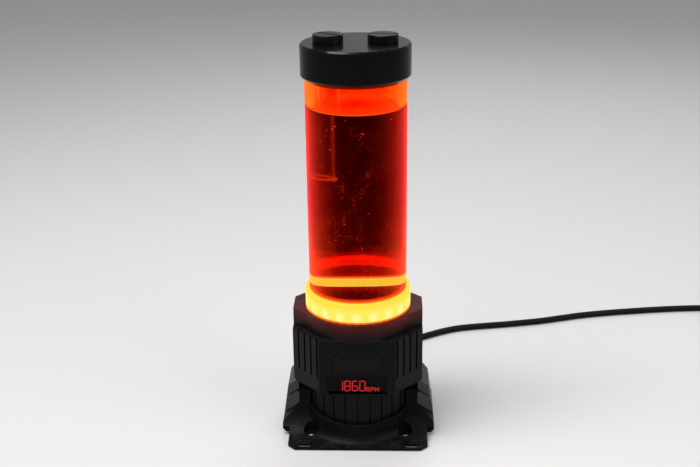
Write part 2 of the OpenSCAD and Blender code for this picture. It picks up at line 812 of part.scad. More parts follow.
module unit_mark() {
    h = 2.5;
    w = 1.6;
    step = 2.65;
    x0 = digits_left + 4 * digit_pitch - 0.1;
    for (i = [0, 1]) {
        x = x0 + i * step;
        stroke([x, digits_low], [x, digits_low + h]);
        stroke([x, digits_low + h], [x + w, digits_low + h]);
        stroke([x + w, digits_low + h], [x + w, digits_low + h / 2]);
        stroke([x + w, digits_low + h / 2], [x, digits_low + h / 2]);
    }
    stroke([x0 + 0.5 * w, digits_low + h / 2], [x0 + w, digits_low]);
    x = x0 + 2 * step;
    stroke([x, digits_low], [x, digits_low + h]);
    stroke([x, digits_low + h], [x + 1.05, digits_low + h * 0.4]);
    stroke([x + 1.05, digits_low + h * 0.4], [x + 2.1, digits_low + h]);
    stroke([x + 2.1, digits_low + h], [x + 2.1, digits_low]);
}

module lit_segments() {
    color("#ff2430") {
        for (d = [0:3]) for (b = shown[d]) digit_bar(d, b);
        unit_mark();
    }
}

module unlit_segments() {
    color("#301013") for (d = [0:3], b = [0:6]) if (len(search(b, shown[d])) == 0) digit_bar(d, b);
}

// ---------- light ring and tank ----------
led_ring_r = (ring_r + tank_r + glow_play) / 2;
module led_board() {
    color("#e9e7df") tube(ring_r, tank_r + gap, led_board_z, led_board_z + board_t);
}

module ring_leds() {
    color("#fff2c0") for (i = [0:led_count - 1]) rotate(i * 360 / led_count - 90)
        block([led_ring_r - led_side / 2, -led_side / 2, led_board_z + board_t],
            [led_ring_r + led_side / 2, led_side / 2, led_board_z + board_t + led_h]);
}

module light_ring() {
    inner = tank_r + glow_play;
    color("#ffc83c") {
        rotate_extrude() union() {
            translate([inner, ring_z]) square([ring_r - inner, ring_h - ring_round]);
            intersection() {
                translate([inner, ring_z]) square([ring_r - inner, ring_h]);
                translate([ring_r - ring_round, ring_top - ring_round]) circle(ring_round);
            }
        }
        for (i = [0:led_count - 1]) rotate((i + 0.5) * 360 / led_count - 90)
            block([inner + 0.3, -1.2, led_board_z + board_t], [ring_r - 0.3, 1.2, ring_z + eps]);
    }
}

tube_seal_z = tank_z + 2.2;
module tube_seal() { color("#111111") o_ring(bore_r - seal_r - 0.02, tube_seal_z); }

module reservoir_tube() { color("#f4f6f7", 0.3) tube(tank_r, bore_r, tank_z, tank_top); }

dip_x = -cap_port_gap / 2;
boss_low = cap_z - cap_boss_drop;
dip_low = boss_low - dip_length;
module coolant() {
    color("#b00808", 0.7) difference() {
        post(bore_r - 0.05, 0, 0, tank_floor + 0.05, level_z);
        translate([dip_x, 0, 0]) tube(dip_od / 2 + 0.05, dip_od / 2 - dip_wall - 0.05, dip_low - 0.05, level_z + 1);
    }
}

module dip_tube() {
    color("#eef1f2", 0.4) translate([dip_x, 0, 0]) difference() {
        union() {
            post(dip_od / 2, 0, 0, dip_low, boss_low + 6);
            post(port_r - thread_play, 0, 0, boss_low, boss_low + 6);
        }
        post(dip_od / 2 - dip_wall, 0, 0, 0, cap_top);
    }
}

cap_seal_z = cap_z + cap_socket / 2;
module top_cap() {
    color("#17181a") difference() {
        union() {
            translate([0, 0, cap_z]) cylinder(r1 = cap_r - cap_foot_chamfer, r2 = cap_r, h = cap_foot_chamfer);
            post(cap_r, 0, 0, cap_z + cap_foot_chamfer, cap_top - cap_chamfer);
            translate([0, 0, cap_top - cap_chamfer]) cylinder(r1 = cap_r, r2 = cap_r - cap_chamfer, h = cap_chamfer);
            post(boss_r, 0, 0, boss_low, cap_top - cap_chamfer);
        }
        tube(tank_r + 0.1, boss_r, cap_z - 1, tank_top + 0.1);
        tube(bore_r + 1, bore_r - seal_cord - 0.05, cap_seal_z - seal_r - 0.05, cap_seal_z + seal_r + 0.05);
        for (s = [-1, 1]) post(port_r, s * cap_port_gap / 2, 0, s < 0 ? 0 : cap_top - 12, cap_top + 1);
        post(5, cap_port_gap / 2, 0, 0, cap_top);
    }
}

module cap_seal() { color("#111111") o_ring(bore_r - seal_r - 0.02, cap_seal_z); }

plug_seal_r = 7.75;
plug_seal_cord_r = 0.75;
module plug(slot_turn) {
    seat = cap_top + gap;
    color("#1a1b1d") difference() {
        union() {
            translate([0, 0, seat]) cylinder(r = plug_d / 2, h = plug_h - 0.4);
            translate([0, 0, seat + plug_h - 0.4]) cylinder(r1 = plug_d / 2, r2 = plug_d / 2 - 0.4, h = 0.4);
            translate([0, 0, cap_top - plug_thread]) cylinder(r = port_r - thread_play, h = plug_thread + 1);
        }
        tube(plug_seal_r + plug_seal_cord_r + 0.1, plug_seal_r - plug_seal_cord_r - 0.1, 0, cap_top + 2 * plug_seal_cord_r + 0.2);
        rotate(slot_turn) block([-plug_d, -coin_w / 2, seat + plug_h - coin_depth], [plug_d, coin_w / 2, cap_top + 20]);
    }
}
module fill_plug() { translate([-cap_port_gap / 2, 0, 0]) plug(fill_slot_turn); }
module vent_plug() { translate([cap_port_gap / 2, 0, 0]) plug(vent_slot_turn); }
module plug_seal() { color("#0e0e0e") o_ring(plug_seal_r, cap_top + plug_seal_cord_r + 0.06, plug_seal_cord_r); }
module fill_plug_seal() { translate([-cap_port_gap / 2, 0, 0]) plug_seal(); }
module vent_plug_seal() { translate([cap_port_gap / 2, 0, 0]) plug_seal(); }

// ---------- cable ----------
relief_x = 8;
relief_z = 22;
relief_r = 4;
relief_end = motor_r + relief_l - 1;
cable_z = 2.3;
lead_route = [[8, 44, 22], [8, 50, 22], [8, 57, 21.5], [9, 65, 19.6], [11, 74, 15.6], [15, 82, 10.8],
    [20, 90, 6.6], [26, 97, 3.8], [33, 103, 2.5], [41, 109, 2.3], [50, 115, 2.3], [60, 121, 2.3],
    [71, 126, 2.3], [83, 129, 2.3], [96, 131.5, 2.3], [110, 134, 2.3], [124, 137, 2.3],
    [138, 140.5, 2.3], [152, 145, 2.3], [166, 149.5, 2.3], [180, 153, 2.3], [195, 156, 2.3],
    [210, 158.5, 2.3], [226, 161, 2.3], [242, 163, 2.3], [258, 164.3, 2.3], [272, 164.6, 2.3],
    [286, 164, 2.3], [300, 163, 2.3]];
coil_at = [300, 140.5];
coil_r = 22.5;
layer = 4.55;                                 // rise from one turn to the next
tail_route = [[322.5, 131, 10.6], [322.5, 122, 8], [322.5, 114, 4.8], [322.5, 106, 2.8],
    [322.5, 98, 2.3]];

// Point on the third turn, by the share of a turn after the second
function top_turn(t) = [coil_at[0] + coil_r * sin(360 * t), coil_at[1] + coil_r * cos(360 * t),
    cable_z + layer + layer * min(1, (t + 0.15) / 0.15)];

function unit(v) = v / norm(v);
// Directions along a route, then rings of points square to them
function heading(route, i) = unit(route[min(i + 1, len(route) - 1)] - route[max(i - 1, 0)]);
function ring_points(route, r, n) = [for (i = [0:len(route) - 1])
    let(d = heading(route, i), side = unit(cross(d, [0, 0, 1])), up = cross(side, d))
    for (k = [0:n - 1]) route[i] + r * (cos(360 * k / n) * side + sin(360 * k / n) * up)];
module swept(route, r, n = 8) {
    m = len(route);
    faces = concat([[for (k = [n - 1:-1:0]) k]], [[for (k = [0:n - 1]) (m - 1) * n + k]],
        [for (i = [0:m - 2], k = [0:n - 1]) [i * n + k, i * n + (k + 1) % n, (i + 1) * n + (k + 1) % n, (i + 1) * n + k]]);
    polyhedron(ring_points(route, r, n), faces, convexity = 6);
}

module power_cable() {
    color("#101010") {
        swept(lead_route, cable_r);
        swept(concat([for (t = [-0.12:0.06:0.25]) top_turn(t)], tail_route), cable_r);
    }
}

module cable_coil() {
    low = cable_z - cable_r;
    color("#101010") translate([coil_at[0], coil_at[1], 0]) rotate_extrude() {
        for (k = [0, 1]) translate([coil_r, cable_z + k * layer]) circle(cable_r, $fn = 32);
        translate([coil_r - cable_r, cable_z]) square([cable_d, layer]);
    }
}

module cable_tie() {
    t = 0.6;
    top = cable_z + layer + cable_r + 0.1;
    translate([coil_at[0], coil_at[1] - coil_r, 0]) color("#1c1c1c") difference() {
        block([-2, -cable_r - 0.1 - t, 0], [2, cable_r + 0.1 + t, top + t]);
        block([-3, -cable_r - 0.1, -1], [3, cable_r + 0.1, top]);
    }
}

module cable_connector() {
    end = tail_route[len(tail_route) - 1];
    w = 10.4;
    l = 13;
    h = 6;
    color("#141414") translate([end[0], end[1], 0]) difference() {
        union() {
            block([-w / 2, -l, 0.1], [w / 2, 0, 0.1 + h]);
            block([-2, -l + 2, h], [2, -1, h + 1.4]);
            block([-3.4, 0, 0.3], [3.4, 4, 4.9]);
        }
        for (i = [-1.5:1:1.5]) block([i * 2.4 - 0.7, -l - 1, 2], [i * 2.4 + 0.7, -3, 4.2]);
        translate([0, 5, cable_z]) rotate([90, 0, 0]) cylinder(r = cable_r + 0.05, h = 5);
    }
}

module strain_relief() {
    color("#121212") translate([relief_x, 0, relief_z]) rotate([-90, 0, 0]) difference() {
        union() {
            translate([0, 0, motor_r - motor_wall - 3]) cylinder(r = relief_r + 1.6, h = 1.2);
            translate([0, 0, motor_r - motor_wall - 3]) cylinder(r = relief_r, h = motor_wall + 4);
            translate([0, 0, motor_r + 0.3]) cylinder(r = relief_r + 0.9, h = 1.8);
            translate([0, 0, motor_r + 1]) cylinder(r1 = relief_r, r2 = cable_r + 0.8, h = relief_l - 2);
            for (i = [0:3]) translate([0, 0, motor_r + 4 + i * 3]) cylinder(r = relief_r + 0.2 - i * 0.27, h = 1.4);
        }
        cylinder(r = cable_r + 0.05, h = 80);
    }
}

base_bracket();
left_upper_trim();
left_lower_trim();
right_upper_trim();
right_lower_trim();
rubber_feet();
base_screws();
damping_ring();
motor_housing();
controller_board();
board_components();
board_screws();
stator_core();
stator_windings();
motor_can();
can_seal();
rotor_shaft();
bearing_bush();
rotor_magnet();
impeller();
pump_body();
pump_screws();
shell_floor();
shell_screws();
housing_shell();
front_panel();
badge_plate();
display_window();
display_board();
lit_segments();
unlit_segments();
led_board();
ring_leds();
light_ring();
tube_seal();
reservoir_tube();
coolant();
dip_tube();
top_cap();
cap_seal();
fill_plug();
fill_plug_seal();
vent_plug();
vent_plug_seal();
strain_relief();
power_cable();
cable_coil();
cable_tie();
cable_connector();
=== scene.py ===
import math

import bmesh
import bpy
import numpy as np
from mathutils import Matrix, Vector


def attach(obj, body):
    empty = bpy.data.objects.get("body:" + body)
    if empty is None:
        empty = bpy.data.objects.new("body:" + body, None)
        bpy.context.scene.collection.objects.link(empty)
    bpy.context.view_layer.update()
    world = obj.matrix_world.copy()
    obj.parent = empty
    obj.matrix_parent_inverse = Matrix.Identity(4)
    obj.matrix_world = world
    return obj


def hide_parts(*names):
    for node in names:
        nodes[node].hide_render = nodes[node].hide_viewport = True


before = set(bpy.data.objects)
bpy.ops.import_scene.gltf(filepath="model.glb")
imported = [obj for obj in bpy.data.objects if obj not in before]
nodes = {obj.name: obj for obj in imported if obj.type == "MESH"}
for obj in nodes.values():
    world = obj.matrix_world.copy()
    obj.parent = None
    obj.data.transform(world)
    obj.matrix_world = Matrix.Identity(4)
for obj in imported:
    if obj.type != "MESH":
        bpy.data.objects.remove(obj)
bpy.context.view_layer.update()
print("frame loaded:", len(nodes), "nodes")

cameraSettings = {
    "lens": 54.4,            # mm, on a 36 mm wide sensor
    "place": (0.019, -0.6038, 0.3549),
    "pitch": 20.67,          # degrees below the horizon
    "heading": 2.23,         # degrees, turned left of +Y
    "roll": -0.75,
}


def makeCamera(values):
    data = bpy.data.cameras.new("camera")
    data.lens = values["lens"]
    data.sensor_width = 36
    data.clip_start = 0.01
    camera = bpy.data.objects.new("camera", data)
    bpy.context.scene.collection.objects.link(camera)
    turn = (
        Matrix.Rotation(math.radians(values["heading"]), 4, "Z")
        @ Matrix.Rotation(math.radians(90 - values["pitch"]), 4, "X")
        @ Matrix.Rotation(math.radians(values["roll"]), 4, "Z")
    )
    camera.matrix_world = Matrix.Translation(values["place"]) @ turn
    bpy.context.scene.camera = camera


makeCamera(cameraSettings)
print("camera placed")


def linkObject(name, data, body="pump"):
    piece = bpy.data.objects.new(name, data)
    bpy.context.scene.collection.objects.link(piece)
    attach(piece, body)
    return piece


def meshFromGrid(name, grid, body="pump"):
    # grid[i, j] is the point at row i, column j: quads join neighbours, the last column joins the first
    rows, cols = grid.shape[:2]
    i, j = np.meshgrid(np.arange(rows - 1), np.arange(cols), indexing="ij")
    ahead = (j + 1) % cols
    corners = [i * cols + j, i * cols + ahead, (i + 1) * cols + ahead, (i + 1) * cols + j]
    quads = np.stack(corners, -1).reshape(-1, 4)
    mesh = bpy.data.meshes.new(name)
    mesh.from_pydata(grid.reshape(-1, 3).tolist(), [], quads.tolist())
    mesh.polygons.foreach_set("use_smooth", np.full(len(mesh.polygons), True))
    mesh.update()
    return linkObject(name, mesh, body)


def lathe(name, profile, centre=(0, 0), steps=96, body="pump"):
    # the profile's (radius, height) points carried round the upright line through centre:
    # point(i, a) = (centre x + r_i cos a, centre y + r_i sin a, z_i); radii of 0 close the poles
    profile = np.asarray(profile, float)
    angle = np.linspace(0, 2 * np.pi, steps, endpoint=False)
    grid = np.stack(
        [
            centre[0] + profile[:, 0, None] * np.cos(angle),
            centre[1] + profile[:, 0, None] * np.sin(angle),
            np.repeat(profile[:, 1, None], steps, 1),
        ],
        -1,
    )
    return meshFromGrid(name, grid, body)


def cleanMesh(piece, distance=1e-6):
    # joins points that lie on each other, such as those of a pole, and turns faces outwards
    work = bmesh.new()
    work.from_mesh(piece.data)
    bmesh.ops.remove_doubles(work, verts=work.verts, dist=distance)
    bmesh.ops.recalc_face_normals(work, faces=work.faces)
    work.to_mesh(piece.data)
    work.free()


cableValues = {
    "diameter": 0.0045,
    "floorHeight": 0.0023,   # centreline above the floor
    "coilCentre": (0.300, 0.1405),
    "coilRadius": 0.0225,
    "layer": 0.00455,        # rise from one turn to the next
    "turns": 2.25,
    "riseShare": 0.15,       # share of a turn over which it climbs on the one below
}
leadRoute = [
    (8, 44, 22), (8, 50, 22), (8, 57, 21.5), (9, 65, 19.6), (11, 74, 15.6), (15, 82, 10.8),
    (20, 90, 6.6), (26, 97, 3.8), (33, 103, 2.5), (41, 109, 2.3), (50, 115, 2.3),
    (60, 121, 2.3), (71, 126, 2.3), (83, 129, 2.3), (96, 131.5, 2.3), (110, 134, 2.3),
    (124, 137, 2.3), (138, 140.5, 2.3), (152, 145, 2.3), (166, 149.5, 2.3), (180, 153, 2.3),
    (195, 156, 2.3), (210, 158.5, 2.3), (226, 161, 2.3), (242, 163, 2.3), (258, 164.3, 2.3),
    (272, 164.6, 2.3), (286, 164, 2.3),
]
tailRoute = [(322.5, 131, 10.6), (322.5, 122, 8), (322.5, 114, 4.8), (322.5, 106, 2.8), (322.5, 96, 2.3)]


def coilPoints(values):
    # clockwise turns of one radius; the height steps up a layer over the last part of each turn
    perTurn = 16
    t = np.arange(0, values["turns"] * perTurn + 0.5) / perTurn
    share = np.clip((t % 1 - 1 + values["riseShare"]) / values["riseShare"], 0, 1)
    level = np.floor(t) + share * share * (3 - 2 * share)
    return np.stack(
        [
            values["coilCentre"][0] + values["coilRadius"] * np.sin(2 * np.pi * t),
            values["coilCentre"][1] + values["coilRadius"] * np.cos(2 * np.pi * t),
            values["floorHeight"] + values["layer"] * level,
        ],
        -1,
    )


def smoothPath(points, step=0.0015):
    # Catmull-Rom curve through the points, sampled at even steps of its length
    ends = np.vstack([2 * points[0] - points[1], points, 2 * points[-1] - points[-2]])
    a, b, c, d = ends[:-3], ends[1:-2], ends[2:-1], ends[3:]
    t = np.linspace(0, 1, 12, endpoint=False)[:, None, None]
    curve = 0.5 * (
        2 * b + (c - a) * t + (2 * a - 5 * b + 4 * c - d) * t**2 + (3 * b - a - 3 * c + d) * t**3
    )
    curve = np.vstack([curve.transpose(1, 0, 2).reshape(-1, 3), points[-1]])
    run = np.concatenate([[0], np.cumsum(np.linalg.norm(np.diff(curve, axis=0), axis=1))])
    at = np.linspace(0, run[-1], int(run[-1] / step) + 1)
    return np.stack([np.interp(at, run, curve[:, k]) for k in range(3)], -1), run[-1]


def sweepTube(name, path, radius, sides=16, body="pump"):
    # rings of one radius square to the path: point(i, a) = path_i + radius (cos a side_i + sin a up_i),
    # where side is level, square to the path, and up is square to both; one point closes each end
    run = np.gradient(path, axis=0)
    run /= np.linalg.norm(run, axis=1, keepdims=True)
    side = np.cross(run, [0.0, 0.0, 1.0])
    side /= np.linalg.norm(side, axis=1, keepdims=True)
    up = np.cross(side, run)
    a = np.linspace(0, 2 * np.pi, sides, endpoint=False)[None, :, None]
    grid = path[:, None] + radius * (np.cos(a) * side[:, None] + np.sin(a) * up[:, None])
    first = np.repeat(path[:1, None], sides, 1)
    last = np.repeat(path[-1:, None], sides, 1)
    tube = meshFromGrid(name, np.vstack([first, grid, last]), body)
    cleanMesh(tube)
    return tube


def makeCable(values):
    route = np.vstack([np.array(leadRoute) / 1000, coilPoints(values), np.array(tailRoute) / 1000])
    path, length = smoothPath(route)
    cable = sweepTube("powerCable", path, values["diameter"] / 2)
    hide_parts("power_cable", "cable_coil")
    return cable


cable = makeCable(cableValues)
print("cable laid")


def newGroup(name, inputs, outputs):
    group = bpy.data.node_groups.new(name, "ShaderNodeTree")
    for label, kind, value in inputs:
        socket = group.interface.new_socket(label, in_out="INPUT", socket_type=kind)
        socket.default_value = value
    for label, kind in outputs:
        group.interface.new_socket(label, in_out="OUTPUT", socket_type=kind)
    start = group.nodes.new("NodeGroupInput")
    end = group.nodes.new("NodeGroupOutput")
    return group, start, end


def addNode(tree, kind, inputs=None, **settings):
    node = tree.nodes.new(kind)
    for key, value in settings.items():
        setattr(node, key, value)
    for key, value in (inputs or {}).items():
        if isinstance(value, bpy.types.NodeSocket):
            tree.links.new(value, node.inputs[key])
        else:
            node.inputs[key].default_value = value
    return node


def mathNode(tree, operation, a, b=None, c=None):
    inputs = {0: a}
    if b is not None:
        inputs[1] = b
    if c is not None:
        inputs[2] = c
    return addNode(tree, "ShaderNodeMath", inputs, operation=operation).outputs[0]


def times(tree, a, b):
    return mathNode(tree, "MULTIPLY", a, b)


def mapRange(tree, value, low, high, toLow=0.0, toHigh=1.0, ease=False):
    # straight between the ends, or eased in and out
    return addNode(tree, "ShaderNodeMapRange", {
        "Value": value, "From Min": low, "From Max": high, "To Min": toLow, "To Max": toHigh,
    }, interpolation_type="SMOOTHSTEP" if ease else "LINEAR").outputs[0]


def noise(tree, vector, scale, detail, roughness, distortion=0.0):
    return addNode(tree, "ShaderNodeTexNoise", {
        "Vector": vector, "Scale": scale, "Detail": detail, "Roughness": roughness,
        "Distortion": distortion}).outputs["Fac"]


def objectPlace(tree):
    return addNode(tree, "ShaderNodeTexCoord").outputs["Object"]


def splitAxes(tree, vector):
    return addNode(tree, "ShaderNodeSeparateXYZ", {"Vector": vector}).outputs


def buildMouldedGrain():
    # fine pebbled skin of a moulded part: noise plus a share of the distance to scattered pits
    group, start, end = newGroup(
        "mouldedGrain",
        [("Scale", "NodeSocketFloat", 2500), ("Blotch Scale", "NodeSocketFloat", 60)],
        [("Height", "NodeSocketFloat"), ("Blotches", "NodeSocketFloat")],
    )
    place = objectPlace(group)
    fine = noise(group, place, start.outputs["Scale"], 2, 0.6)
    pits = addNode(group, "ShaderNodeTexVoronoi", {"Vector": place, "Scale": start.outputs["Scale"]})
    pitShare = times(group, pits.outputs["Distance"], 0.6)
    group.links.new(mathNode(group, "ADD", fine, pitShare), end.inputs["Height"])
    group.links.new(noise(group, place, start.outputs["Blotch Scale"], 4, 0.65), end.inputs["Blotches"])
    return group


def buildSettledDust():
    # dust: faces that look up, broken by noise
    group, start, end = newGroup(
        "settledDust",
        [("Scale", "NodeSocketFloat", 180), ("Amount", "NodeSocketFloat", 0.2)],
        [("Dust", "NodeSocketFloat")],
    )
    place = addNode(group, "ShaderNodeTexCoord")
    speck = noise(group, place.outputs["Object"], start.outputs["Scale"], 6, 0.75)
    facing = mapRange(group, splitAxes(group, place.outputs["Normal"])["Z"], 0.5, 1.0)
    broken = mapRange(group, speck, 0.45, 0.75)
    dust = times(group, times(group, facing, broken), start.outputs["Amount"])
    group.links.new(dust, end.inputs["Dust"])
    return group


def buildHeightBand():
    # 1 between Low and High, easing to 0 over Soft on both sides, along the object's height in metres
    group, start, end = newGroup(
        "heightBand",
        [("Low", "NodeSocketFloat", 0), ("High", "NodeSocketFloat", 0.01), ("Soft", "NodeSocketFloat", 0.001)],
        [("Band", "NodeSocketFloat"), ("Height", "NodeSocketFloat")],
    )
    low, high, soft = (start.outputs[label] for label in ("Low", "High", "Soft"))
    z = splitAxes(group, objectPlace(group))["Z"]
    rise = mapRange(group, z, mathNode(group, "SUBTRACT", low, soft), low, ease=True)
    fall = mapRange(group, z, high, mathNode(group, "ADD", high, soft), 1.0, 0.0, ease=True)
    group.links.new(times(group, rise, fall), end.inputs["Band"])
    group.links.new(z, end.inputs["Height"])
    return group


def buildDiodeSpots():
    # bright spots at even angles round the upright axis: ((1 + cos(count angle)) / 2) ^ sharpness
    group, start, end = newGroup(
        "diodeSpots",
        [("Count", "NodeSocketFloat", 18), ("Sharpness", "NodeSocketFloat", 6)],
        [("Spots", "NodeSocketFloat")],
    )
    axes = splitAxes(group, objectPlace(group))
    angle = mathNode(group, "ARCTAN2", axes["X"], times(group, axes["Y"], -1.0))
    wave = mathNode(group, "COSINE", times(group, angle, start.outputs["Count"]))
    raised = mathNode(group, "MULTIPLY_ADD", wave, 0.5, 0.5)
    group.links.new(mathNode(group, "POWER", raised, start.outputs["Sharpness"]), end.inputs["Spots"])
    return group


def buildFromAxis():
    # distance from the tank's upright axis: square root of x squared plus y squared
    group, start, end = newGroup("fromAxis", [], [("Distance", "NodeSocketFloat")])
    flat = addNode(group, "ShaderNodeVectorMath", {0: objectPlace(group), 1: (1, 1, 0)}, operation="MULTIPLY")
    length = addNode(group, "ShaderNodeVectorMath", {0: flat.outputs[0]}, operation="LENGTH")
    group.links.new(length.outputs["Value"], end.inputs["Distance"])
    return group


def buildPaintedLightSpecks():
    # painted light: fine glowing specks in drifting clouds: a small noise cut high, times a wide noise, fewer
    # towards the top
    group, start, end = newGroup(
        "paintedLightSpecks",
        [("Scale", "NodeSocketFloat", 900), ("Cloud Scale", "NodeSocketFloat", 45)],
        [("Painted Specks", "NodeSocketFloat")],
    )
    place = objectPlace(group)
    fine = noise(group, place, start.outputs["Scale"], 2, 0.7)
    cloud = noise(group, place, start.outputs["Cloud Scale"], 5, 0.7, 0.6)
    sharp = mapRange(group, fine, 0.53, 0.65, ease=True)
    soft = mapRange(group, cloud, 0.44, 0.64, ease=True)
    lower = mapRange(group, splitAxes(group, place)["Z"], 0.11, 0.19, 1.0, 0.38)
    group.links.new(times(group, times(group, sharp, soft), lower), end.inputs["Painted Specks"])
    return group


mouldedGrain = buildMouldedGrain()
fromAxis = buildFromAxis()
paintedLightSpecks = buildPaintedLightSpecks()
settledDust = buildSettledDust()
heightBand = buildHeightBand()
diodeSpots = buildDiodeSpots()


def newMaterial(name):
    material = bpy.data.materials.new(name)
    material.use_nodes = True
    tree = material.node_tree
    tree.nodes.clear()
    output = addNode(tree, "ShaderNodeOutputMaterial")
    shader = addNode(tree, "ShaderNodeBsdfPrincipled")
    tree.links.new(shader.outputs[0], output.inputs["Surface"])
    return material, tree, shader, output


def groupNode(tree, group, **values):
    node = tree.nodes.new("ShaderNodeGroup")
    node.node_tree = group
    for key, value in values.items():
        node.inputs[key.replace("_", " ")].default_value = value
    return node


def mixColour(tree, factor, a, b, blend="MIX"):
    node = tree.nodes.new("ShaderNodeMix")
    node.data_type = "RGBA"
    node.blend_type = blend
    sockets = {0: factor, 6: a, 7: b}
    for index, value in sockets.items():
        if isinstance(value, bpy.types.NodeSocket):
            tree.links.new(value, node.inputs[index])
        else:
            node.inputs[index].default_value = (*value, 1.0) if index > 0 and len(value) == 3 else value
    return node.outputs[2]


def shade(colour, share):
    return tuple(c * share for c in colour)


black = (0, 0, 0)
dustColour = (0.30, 0.29, 0.28)
edgeRadius = 0.0003          # of the moulded edges, where a piece states none of its own
grainDepth = 0.00003


def mouldedPlastic(name, values):
    # body colour with faint blotches and dust, pebbled bump, edges rounded in the shading
    material, tree, shader, _ = newMaterial(name)
    grain = groupNode(tree, mouldedGrain, Scale=values["grainScale"], Blotch_Scale=60)
    blotches = grain.outputs["Blotches"]
    dust = groupNode(tree, settledDust, Scale=220, Amount=values["dust"])
    body = mixColour(tree, blotches, shade(values["colour"], 0.8), shade(values["colour"], 1.25))
    dusty = mixColour(tree, dust.outputs["Dust"], body, dustColour)
    tree.links.new(dusty, shader.inputs["Base Color"])
    rough = mapRange(tree, blotches, 0.3, 0.7, values["rough"] - 0.05, values["rough"] + 0.06)
    tree.links.new(rough, shader.inputs["Roughness"])
    edge = addNode(tree, "ShaderNodeBevel", {"Radius": values.get("edge", edgeRadius)}, samples=4)
    bump = addNode(tree, "ShaderNodeBump", {
        "Strength": values["bump"], "Distance": grainDepth, "Height": grain.outputs["Height"],
        "Normal": edge.outputs[0]})
    tree.links.new(bump.outputs[0], shader.inputs["Normal"])
    shader.inputs["Specular IOR Level"].default_value = values.get("specular", 0.14)
    if "coat" in values:
        shader.inputs["Coat Weight"].default_value = values["coat"]
        shader.inputs["Coat Roughness"].default_value = 0.2
    if "glow" in values:      # light of the ring caught on the skin, fading downwards
        band = groupNode(tree, heightBand, Low=values["glowTop"], High=1.0, Soft=values["glowFade"])
        fall = mathNode(tree, "POWER", band.outputs["Band"], 2.0)
        lit = times(tree, fall, mapRange(tree, blotches, 0.3, 0.7, 0.7, 1.2))
        colour = mixColour(tree, lit, black, values["glow"])
        tree.links.new(colour, shader.inputs["Emission Color"])
        shader.inputs["Emission Strength"].default_value = values["glowStrength"]
    return material


def metal(name, values):
    # brushed or plated metal: streaks stretched along one axis in colour, roughness and bump
    material, tree, shader, _ = newMaterial(name)
    stretch = addNode(tree, "ShaderNodeMapping", {"Vector": objectPlace(tree), "Scale": values["stretch"]})
    streak = noise(tree, stretch.outputs[0], values["scale"], 5, 0.7)
    colour = mixColour(tree, streak, shade(values["colour"], 0.75), values["colour"])
    tree.links.new(colour, shader.inputs["Base Color"])
    rough = mapRange(tree, streak, 0.3, 0.7, values["rough"] - 0.06, values["rough"] + 0.1)
    tree.links.new(rough, shader.inputs["Roughness"])
    shader.inputs["Metallic"].default_value = 1.0
    bump = addNode(tree, "ShaderNodeBump", {"Strength": 0.3, "Distance": 0.00004, "Height": streak})
    tree.links.new(bump.outputs[0], shader.inputs["Normal"])
    return material


plasticValues = {
    "bodyPlastic": {
        "colour": (0.0045, 0.0042, 0.0045), "specular": 0.07, "rough": 0.42, "grainScale": 2600,
        "bump": 0.35, "dust": 0.03},
    "shellPlastic": {
        "colour": (0.005, 0.004, 0.0045), "specular": 0.09, "rough": 0.42, "grainScale": 2600,
        "bump": 0.35, "dust": 0.03, "glow": (1.0, 0.035, 0.02), "glowTop": 0.0812, "glowFade": 0.012,
        "glowStrength": 0.065},
    "basePlastic": {
        "colour": (0.0025, 0.0025, 0.0028), "specular": 0.06, "rough": 0.45, "grainScale": 2200,
        "bump": 0.4, "dust": 0.05},
    "trimPlastic": {
        "colour": (0.028, 0.028, 0.029), "rough": 0.36, "grainScale": 3000, "bump": 0.25, "dust": 0.04},
    "panelPlastic": {
        "colour": (0.004, 0.0036, 0.0038), "specular": 0.07, "rough": 0.34, "grainScale": 3200,
        "bump": 0.2, "dust": 0.02},
    "badgePlastic": {
        "colour": (0.005, 0.0042, 0.0044), "specular": 0.07, "rough": 0.3, "grainScale": 3600,
        "bump": 0.12, "dust": 0.01},
    "capPlastic": {
        "colour": (0.0016, 0.0016, 0.0017), "rough": 0.17, "grainScale": 3400, "bump": 0.08,
        "dust": 0.015, "edge": 0.0002, "specular": 0.1},
    "plugPlastic": {
        "colour": (0.004, 0.004, 0.0043), "rough": 0.28, "grainScale": 3400, "bump": 0.12, "dust": 0.02,
        "specular": 0.07},
    "sealRubber": {
        "colour": (0.01, 0.01, 0.01), "rough": 0.55, "grainScale": 3000, "bump": 0.2, "dust": 0.05},
    "footRubber": {
        "colour": (0.014, 0.014, 0.014), "rough": 0.7, "grainScale": 1500, "bump": 0.5, "dust": 0.1},
    "cableRubber": {
        "colour": (0.0035, 0.0035, 0.004), "specular": 0.08, "rough": 0.48, "grainScale": 2400,
        "bump": 0.25, "dust": 0.06},
    "boardGreen": {
        "colour": (0.01, 0.07, 0.03), "rough": 0.35, "grainScale": 1800, "bump": 0.2, "dust": 0.02,
        "coat": 0.3},
    "boardWhite": {
        "colour": (0.75, 0.73, 0.68), "rough": 0.5, "grainScale": 1800, "bump": 0.2, "dust": 0.0},
    "partBlack": {
        "colour": (0.012, 0.012, 0.012), "rough": 0.4, "grainScale": 2500, "bump": 0.3, "dust": 0.03},
    "impellerPlastic": {
        "colour": (0.62, 0.61, 0.57), "rough": 0.4, "grainScale": 2500, "bump": 0.2, "dust": 0.0},
    "bushCarbon": {
        "colour": (0.03, 0.03, 0.032), "rough": 0.3, "grainScale": 3000, "bump": 0.2, "dust": 0.0},
    "shaftCeramic": {
        "colour": (0.8, 0.78, 0.72), "rough": 0.15, "grainScale": 3000, "bump": 0.05, "dust": 0.0},
}
